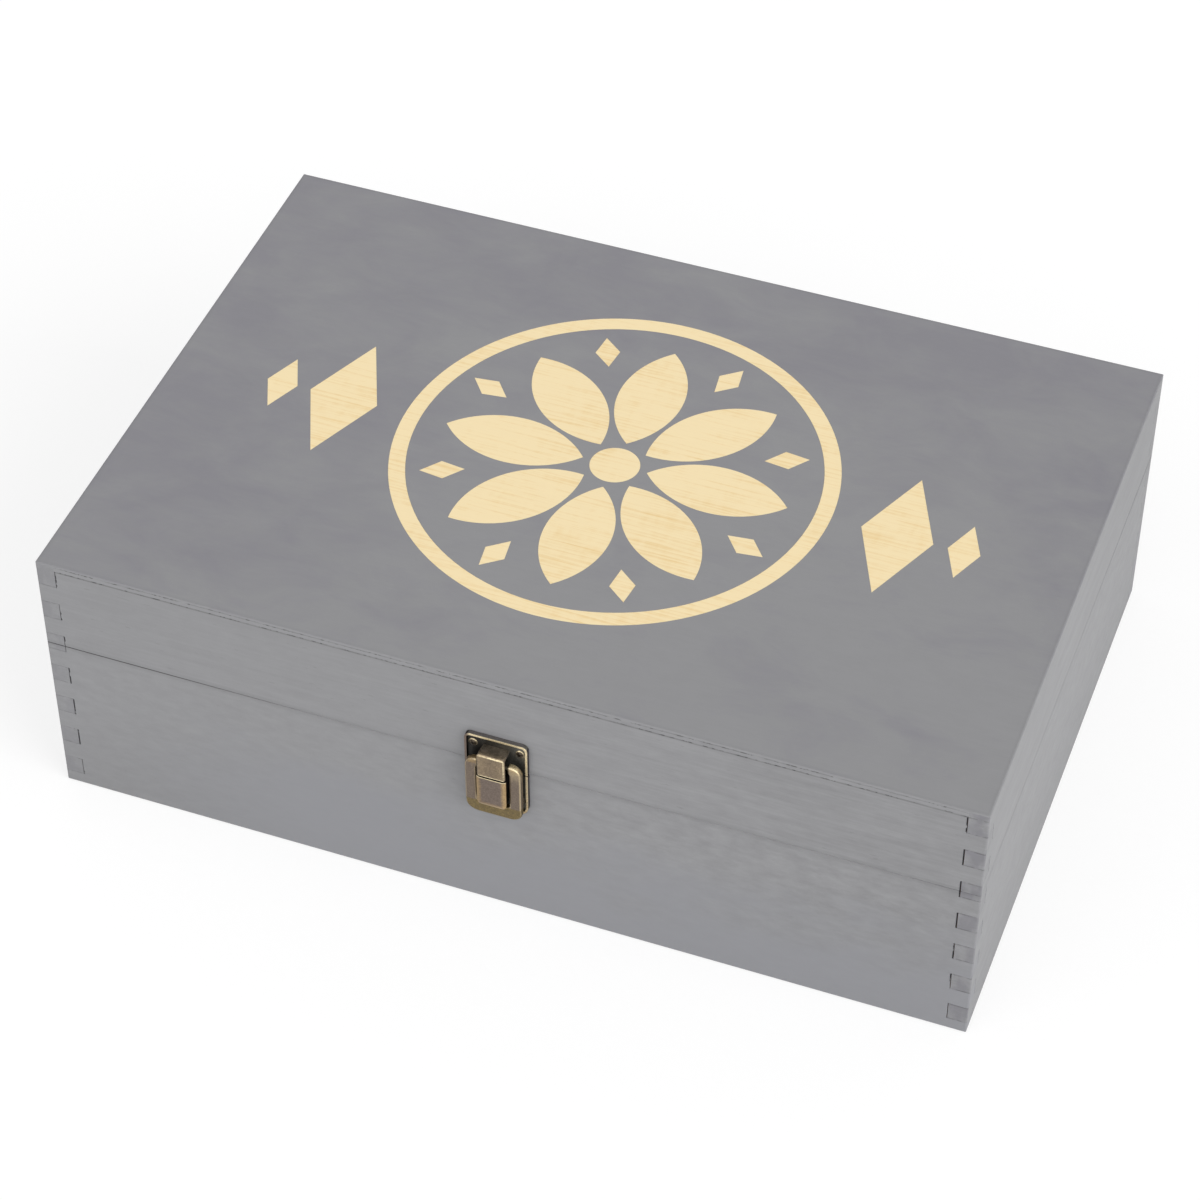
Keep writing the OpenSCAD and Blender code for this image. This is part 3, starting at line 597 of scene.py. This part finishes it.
def tongue_material():
    """A mauve panel that goes over into golden bevels, a painted highlight on its upper edge,
    painted shade behind.
    """
    g = Graph("antique_bronze_tongue")
    _, _, upward = g.parts(g.facing)
    ragged = g.multiply(g.minus(g.noise(1.2, 3, 0.6, shift=139), 0.5), 1.2)
    bevel = g.ramp(g.add(g.size(g.x), ragged), TONGUE_HALF_W - 2.0, TONGUE_HALF_W - 0.7)
    foot = g.ramp(g.add(g.z, ragged), TONGUE_FOOT_Z + 2.0, TONGUE_FOOT_Z + 0.7)
    near_front = g.ramp(g.depth(), TONGUE_FRONT_D - 1.3, TONGUE_FRONT_D - 0.9)
    # Painted shade: all but the front face, such as the top face under the keeper, goes black.
    front = g.multiply(near_front, g.ramp(upward, 0.8, 0.5))
    # Painted highlight: a cream stripe along the upper edge.
    rim = g.ramp(g.z, TONGUE_TOP_Z - 0.5, TONGUE_TOP_Z - 0.25)
    # Golden bevels, rubbed and with painted light that is warmer to the right.
    golden = g.mix(g.ramp(g.x, -3, 3), BRASS_GOLD, BRASS_WARM)
    colour = g.mix(g.largest(bevel, foot), BRONZE_MAUVE, golden)
    colour = g.mix(rim, colour, BRASS_CREAM)
    return metal_surface(g, g.mix(front, PATINA_AND_SHADE_BLACK, colour), 143, 0.38)


def plate_material():
    """A dark recess, outer sides in painted shade, a greyer top edge and a rubbed rim with painted
    light and shade.
    """
    g = Graph("dark_bronze")
    wide = g.ramp(g.size(g.x), PLATE_HALF_W - 0.3, PLATE_HALF_W - 0.1)
    above = g.ramp(g.z, PLATE_TOP_Z - 0.3, PLATE_TOP_Z - 0.1)
    below = g.ramp(g.z, PLATE_FOOT_Z + 0.3, PLATE_FOOT_Z + 0.1)
    # Painted light: the recess goes lighter towards the right.
    recess = g.mix(g.ramp(g.x, -6, 8), RECESS_LEFT, RECESS_RIGHT_LIT)
    # Painted shade: the outer sides and the foot go dark bluish, in ragged patches.
    colour = wear_and_painted_light(g, g.largest(wide, below), recess, SHADE_BLUE, 150)
    colour = g.mix(above, colour, PLATE_TOP_GREY)
    rim = g.ramp(g.depth(), PLATE_RIM_D - 0.3, PLATE_RIM_D - 0.12)
    # Painted highlight: the rim goes cream towards the upper right.
    upper_right = g.ramp(g.add(g.x, g.z), 50, 80)
    # Painted shade: the rim goes dull brown at the left.
    left = g.ramp(g.x, 2.0 - PLATE_HALF_W, 1.0 - PLATE_HALF_W)
    rim_tone = g.mix(left, wear_and_painted_light(g, upper_right, BRASS_GOLD, BRASS_CREAM, 153), RIM_SHADE_BROWN)
    colour = g.mix(rim, colour, rim_tone)
    return metal_surface(g, colour, 156, 0.42)


def hinge_material():
    """Patchy bronze with rubbed edges."""
    g = Graph("antique_bronze_hinge")
    patches = g.noise(2.4, 4, 0.65, shift=160)
    colour = g.mix(g.ramp(patches, 0.42, 0.62), BRONZE_GREY, BRONZE_BEIGE)
    colour = wear_and_painted_light(g, g.multiply(bevel_share(g), 0.8), colour, BRASS_RUBBED, 163)
    return metal_surface(g, colour, 166, 0.38)


def screw_material(part, x_folds, z_away, lower_rim_glint):
    """Screws with painted highlights on their head rims and dark middles.

    Folding space at each of x_folds, and at the height midway between the rows, brings all of the
    screws onto one place. The last argument is how strong the painted highlight on the lower row's
    rims is.
    """
    g = Graph(f"screw_bronze_{part}")
    z_middle = (high(f"{part}_lid_screws", "z") + low(f"{part}_base_screws", "z")) / 2
    x = g.x
    for fold in x_folds:
        x = g.minus(g.size(x), fold)
    z = g.minus(g.size(g.minus(g.z, z_middle)), z_away)
    radius = g.math("SQRT", g.add(g.multiply(x, x), g.multiply(z, z)))
    # Painted highlight: a pale ring round each head's rim.
    ring = g.between(radius, SCREW_HEAD_R - 0.32, SCREW_HEAD_R - 0.12, 0.15)
    colour = g.mix(g.ramp(radius, 0.2, 0.7), PATINA_AND_SHADE_BLACK, BRONZE_UMBER)
    # Painted shade: the clasp's lower row, beside the lever, keeps little of the rim highlight.
    rim_glint = g.add(lower_rim_glint, g.multiply(g.ramp(g.z, z_middle - 1, z_middle + 1), 0.7 - lower_rim_glint))
    return metal_surface(g, wear_and_painted_light(g, g.multiply(ring, rim_glint), colour, BRASS_CREAM, 170), 173, 0.36)


def pin_material():
    """Dark turned steel."""
    g = Graph("pin_steel")
    turned = g.noise(0.2, 2, 0.5, (0.4, 6, 6), 95)
    g.bump(turned, 0.01, 0.4)
    return g.finish(g.vary(STEEL_DARK, turned, 0.3), 0.4, metal=0.9)


# Half the opening between the lever's arms, in millimetres: a little less than in the CAD
LEVER_ARM_X = 6.0

# Outline of the lever's right half, up from its foot and down inside: x, z and corner radius
LEVER_CORNERS = [
    (LEVER_HALF_W, LEVER_FOOT_Z, 4.5),
    (LEVER_HALF_W, LEVER_TOP_Z, 3.9),
    (LEVER_NOSE_X, LEVER_TOP_Z, 0.6),
    (LEVER_NOSE_X, LEVER_TOP_Z - LEVER_NOSE_H, 0.4),
    (LEVER_ARM_X, LEVER_SHOULDER_Z, 1.6),
    (LEVER_ARM_X, LEVER_BAR_Z, 1.5),
]

# Cross-section of the lever's edge from back to front: how far in, and the depth
LEVER_EDGE = [
    (0.20, LEVER_BACK_D),
    (0.00, LEVER_BACK_D + 0.20),
    (0.00, LEVER_FRONT_D - 0.70),
    (0.10, LEVER_FRONT_D - 0.36),
    (0.32, LEVER_FRONT_D - 0.12),
    (0.75, LEVER_FRONT_D),
]

# The shell's mesh: steps round a corner, and in millimetres the smallest corner radius and the
# distance below which points are joined
CORNER_STEPS = 10
SMALLEST_CORNER_R = 0.04
JOINED_WITHIN = 0.01


def rounded_outline(corners, inset):
    """Points round a polygon that runs anticlockwise, drawn in by inset, with rounded corners."""
    points = []
    for i, (x, z, radius) in enumerate(corners):
        here = Vector((x, z))
        came = (here - Vector(corners[i - 1][:2])).normalized()
        goes = (Vector(corners[(i + 1) % len(corners)][:2]) - here).normalized()
        turn = math.atan2(came.x * goes.y - came.y * goes.x, came.dot(goes))
        inward = Vector((-came.y, came.x))
        reach = math.tan(turn / 2)
        corner = here + inset * (inward - came * reach)
        radius = max(radius - math.copysign(inset, turn), SMALLEST_CORNER_R)
        start = corner - came * radius * abs(reach)
        centre = start + inward * math.copysign(radius, turn)
        for step in range(CORNER_STEPS + 1):
            turned = Matrix.Rotation(turn * step / CORNER_STEPS, 2)
            points.append(centre + turned @ (start - centre))
    return points


def loft_lever(shell):
    """Fills shell with the lever at full thickness: its rounded edge, and a flat back and front."""
    corners = LEVER_CORNERS + [(-x, z, radius) for x, z, radius in reversed(LEVER_CORNERS)]
    rings = []
    for inset, depth in LEVER_EDGE:
        outline = rounded_outline(corners, inset)
        rings.append([shell.verts.new((p.x, -HALF_D - depth, p.y)) for p in outline])
    for back, front in zip(rings, rings[1:]):
        for i in range(len(back)):
            j = (i + 1) % len(back)
            shell.faces.new((back[i], back[j], front[j], front[i])).smooth = True
    flats = [shell.faces.new(rings[0]), shell.faces.new(rings[-1][::-1])]
    for flat in flats:
        flat.normal_update()  # without it the flats' triangles cross the opening of the U
    bmesh.ops.triangulate(shell, faces=flats)


def thin_foot(shell):
    """Slopes the front back from the fold down to the lower edge."""
    everything = shell.verts[:] + shell.edges[:] + shell.faces[:]
    fold = (0, 0, LEVER_FOLD_Z)
    bmesh.ops.bisect_plane(shell, geom=everything, plane_co=fold, plane_no=(0, 0, 1))
    bmesh.ops.remove_doubles(shell, verts=shell.verts[:], dist=JOINED_WITHIN)
    middle_y = -HALF_D - (LEVER_BACK_D + LEVER_FRONT_D) / 2
    slope = (LEVER_FRONT_D - LEVER_FOOT_D) / (LEVER_FOLD_Z - LEVER_FOOT_Z)
    for vert in shell.verts:
        if vert.co.z < LEVER_FOLD_Z and vert.co.y < middle_y:
            vert.co.y += slope * (LEVER_FOLD_Z - vert.co.z)


def lever_mesh():
    """The U-shaped lever with softly rounded edges and a foot that thins downwards."""
    shell = bmesh.new()
    loft_lever(shell)
    thin_foot(shell)
    bmesh.ops.scale(shell, vec=(MM, MM, MM), verts=shell.verts[:])
    bmesh.ops.recalc_face_normals(shell, faces=shell.faces[:])
    mesh = bpy.data.meshes.new("clasp_lever_shell")
    shell.to_mesh(mesh)
    shell.free()
    return mesh


def add_object(name, data):
    """A new object in the scene."""
    made = bpy.data.objects.new(name, data)
    bpy.context.scene.collection.objects.link(made)
    return made


def add_lever():
    """Puts the lever's shell in the place of the CAD's lever."""
    lever = add_object("clasp_lever_shell", lever_mesh())
    lever.data.materials.append(lever_material())
    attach(lever, "lever")
    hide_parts("clasp_lever")


def dress(node, material):
    """Gives a CAD node its material."""
    slots = NODES[node].data.materials
    slots.clear()
    slots.append(material)


def weld(node):
    """Joins a CAD node's points that lie in one place, so that every face left has an area."""
    NODES[node].modifiers.new("weld", "WELD").merge_threshold = 0.001 * MM


def ease(node, width_mm):
    """Rounds a CAD node's sharp edges, after joining the seams and flat faces of its mesh."""
    weld(node)
    flats = NODES[node].modifiers.new("flats", "DECIMATE")
    flats.decimate_type = "DISSOLVE"
    flats.angle_limit = math.radians(1)
    bevel = NODES[node].modifiers.new("ease", "BEVEL")
    bevel.width = width_mm * MM
    bevel.segments = 2
    bevel.limit_method = "ANGLE"
    bevel.angle_limit = math.radians(30)
    bevel.harden_normals = True


# Each wall's side of the box, the axis that it runs along and how dark its finger tips are
WALLS = [("front", "x", 0.3), ("back", "x", 0.3), ("left", "y", 0.45), ("right", "y", 1.0)]

# The screws of the clasp and of the hinges: where to fold them in X, how far each row is above or
# below the middle, both as in the CAD and in millimetres, and how strong the painted highlight on
# the lower row's rims is.
SCREWS = [("clasp", (8.5,), 11.6, 0.1), ("hinge", (105, 8), 7.5, 0.7)]

# How wide the rounded edges are, in millimetres
PLATE_EDGE = 0.2
BLOCK_EDGE = 0.15
LEAF_EDGE = 0.12


def dress_wood():
    """Gives every wooden piece its material, and each board a pattern of its own."""
    shift = 0
    for body in ("base", "lid"):
        for side, axis, tips in WALLS:
            shift += 13
            name = f"{body}_{side}_board"
            dress(name, wall_material(f"painted_{name}", axis, body, tips, shift))
    dress("lid_top_panel", lid_panel_material())
    dress("base_bottom_panel", bare_ply_material())
    veneer = veneer_material()
    for name in ("lid_inlay_rosette", "lid_inlay_ring", "lid_inlay_lozenges"):
        dress(name, veneer)


def dress_clasp():
    """Gives the clasp's plates and blocks their materials and rounded edges."""
    plate = plate_material()
    for name in ("clasp_base_plate", "clasp_lid_plate"):
        dress(name, plate)
        ease(name, PLATE_EDGE)
    dress("clasp_keeper", keeper_material())
    ease("clasp_keeper", BLOCK_EDGE)
    weld("clasp_keeper")  # the rounding leaves some points in one place
    dress("clasp_tongue", tongue_material())
    ease("clasp_tongue", BLOCK_EDGE)


def dress_hinges():
    """Gives the hinge leaves their material and rounded edges."""
    leaf = hinge_material()
    for side in ("left", "right"):
        for body in ("base", "lid"):
            dress(f"hinge_{side}_{body}_leaf", leaf)
            ease(f"hinge_{side}_{body}_leaf", LEAF_EDGE)


def dress_pins_and_screws():
    """Gives the pins and the screws their materials."""
    pin = pin_material()
    for name in ("hinge_left_pin", "hinge_right_pin", "clasp_pivot_pin"):
        dress(name, pin)
    for part, x_folds, z_away, lower_rim_glint in SCREWS:
        screw = screw_material(part, x_folds, z_away, lower_rim_glint)
        for body in ("base", "lid"):
            dress(f"{part}_{body}_screws", screw)
            weld(f"{part}_{body}_screws")


def add_camera():
    """The photo's camera."""
    data = bpy.data.cameras.new("camera")
    data.sensor_width = CAMERA_SENSOR_MM
    data.lens = CAMERA_LENS_MM
    camera = add_object("camera", data)
    camera.location = CAMERA_PLACE
    tilt = math.radians(90 - CAMERA_ELEVATION)
    camera.rotation_euler = Euler((tilt, 0, math.radians(CAMERA_AZIMUTH)), "XYZ")
    bpy.context.scene.camera = camera


def add_sun(name, towards, share, spread):
    """A soft sun that lights a surface facing it with that share of full brightness."""
    data = bpy.data.lights.new(name, "SUN")
    data.energy = share * math.pi
    data.angle = math.radians(spread)
    lamp = add_object(name, data)
    lamp.rotation_euler = Vector(towards).to_track_quat("Z", "Y").to_euler()


def camera_or_mirror_share(tree):
    """1 for rays from the camera, a mirror or glass, else 0."""
    path = tree.nodes.new("ShaderNodeLightPath")
    share = path.outputs["Is Camera Ray"]
    for kind in ("Is Glossy Ray", "Is Transmission Ray"):
        either = tree.nodes.new("ShaderNodeMath")
        either.operation = "MAXIMUM"
        tree.links.new(share, either.inputs[0])
        tree.links.new(path.outputs[kind], either.inputs[1])
        share = either.outputs[0]
    return share


# Suns: name, direction to the sun, share of full brightness and angular width in degrees
SUNS = [("key_right", (0.85, -0.30, 0.45), 0.55, 50), ("fill_front", (-0.15, -0.8, 0.5), 0.25, 70)]

# How brightly the world lights the box; rays from the camera or a mirror see it at full white
WORLD_LIGHT = 0.56

# The floor is FLOOR_SIZE metres wide and lies FLOOR_DROP millimetres below the box, clear of its
# underside. Other light meets a floor of grey FLOOR_BOUNCE. Rays from the camera or a mirror see
# FLOOR_SEEN, whose shading is the shadow, with FLOOR_GLOW on top that brings it up to white.
FLOOR_SIZE = 12.0
FLOOR_DROP = 0.2
FLOOR_BOUNCE = 0.85
FLOOR_SEEN = 0.32
FLOOR_GLOW = 0.72


def grey(share):
    """A neutral colour for a socket."""
    return (share, share, share, 1)


def add_world():
    """An even white studio."""
    world = bpy.data.worlds.new("studio")
    bpy.context.scene.world = world
    world.use_nodes = True
    tree = world.node_tree
    background = tree.nodes["Background"]
    background.inputs["Color"].default_value = grey(1)
    strength = tree.nodes.new("ShaderNodeMapRange")
    strength.inputs["To Min"].default_value = WORLD_LIGHT
    strength.inputs["To Max"].default_value = 1.0
    tree.links.new(camera_or_mirror_share(tree), strength.inputs["Value"])
    tree.links.new(strength.outputs["Result"], background.inputs["Strength"])


def floor_material():
    """White that keeps a pale shadow."""
    material = bpy.data.materials.new("floor_white")
    material.use_nodes = True
    tree = material.node_tree
    shader = tree.nodes["Principled BSDF"]
    shader.inputs["Roughness"].default_value = 1.0
    shader.inputs["Specular IOR Level"].default_value = 0.0
    seen = camera_or_mirror_share(tree)
    base = tree.nodes.new("ShaderNodeMix")
    base.data_type = "RGBA"
    tree.links.new(seen, base.inputs["Factor"])
    base.inputs[MIX_FIRST].default_value = grey(FLOOR_BOUNCE)
    base.inputs[MIX_SECOND].default_value = grey(FLOOR_SEEN)
    tree.links.new(base.outputs[MIX_RESULT], shader.inputs["Base Color"])
    shader.inputs["Emission Color"].default_value = grey(1)
    glow = tree.nodes.new("ShaderNodeMath")
    glow.operation = "MULTIPLY"
    tree.links.new(seen, glow.inputs[0])
    glow.inputs[1].default_value = FLOOR_GLOW
    tree.links.new(glow.outputs[0], shader.inputs["Emission Strength"])
    return material


def add_floor():
    """The floor that the box stands on."""
    mesh = bpy.data.meshes.new("floor")
    half = FLOOR_SIZE / 2
    corners = [(-half, -half, 0), (half, -half, 0), (half, half, 0), (-half, half, 0)]
    mesh.from_pydata(corners, [], [(0, 1, 2, 3)])
    mesh.materials.append(floor_material())
    floor = add_object("floor", mesh)
    floor.location.z = -FLOOR_DROP * MM


bpy.context.scene.view_settings.view_transform = "Standard"
add_camera()
add_world()
add_floor()
for sun in SUNS:
    add_sun(*sun)
dress_wood()
dress_clasp()
dress_hinges()
dress_pins_and_screws()
add_lever()
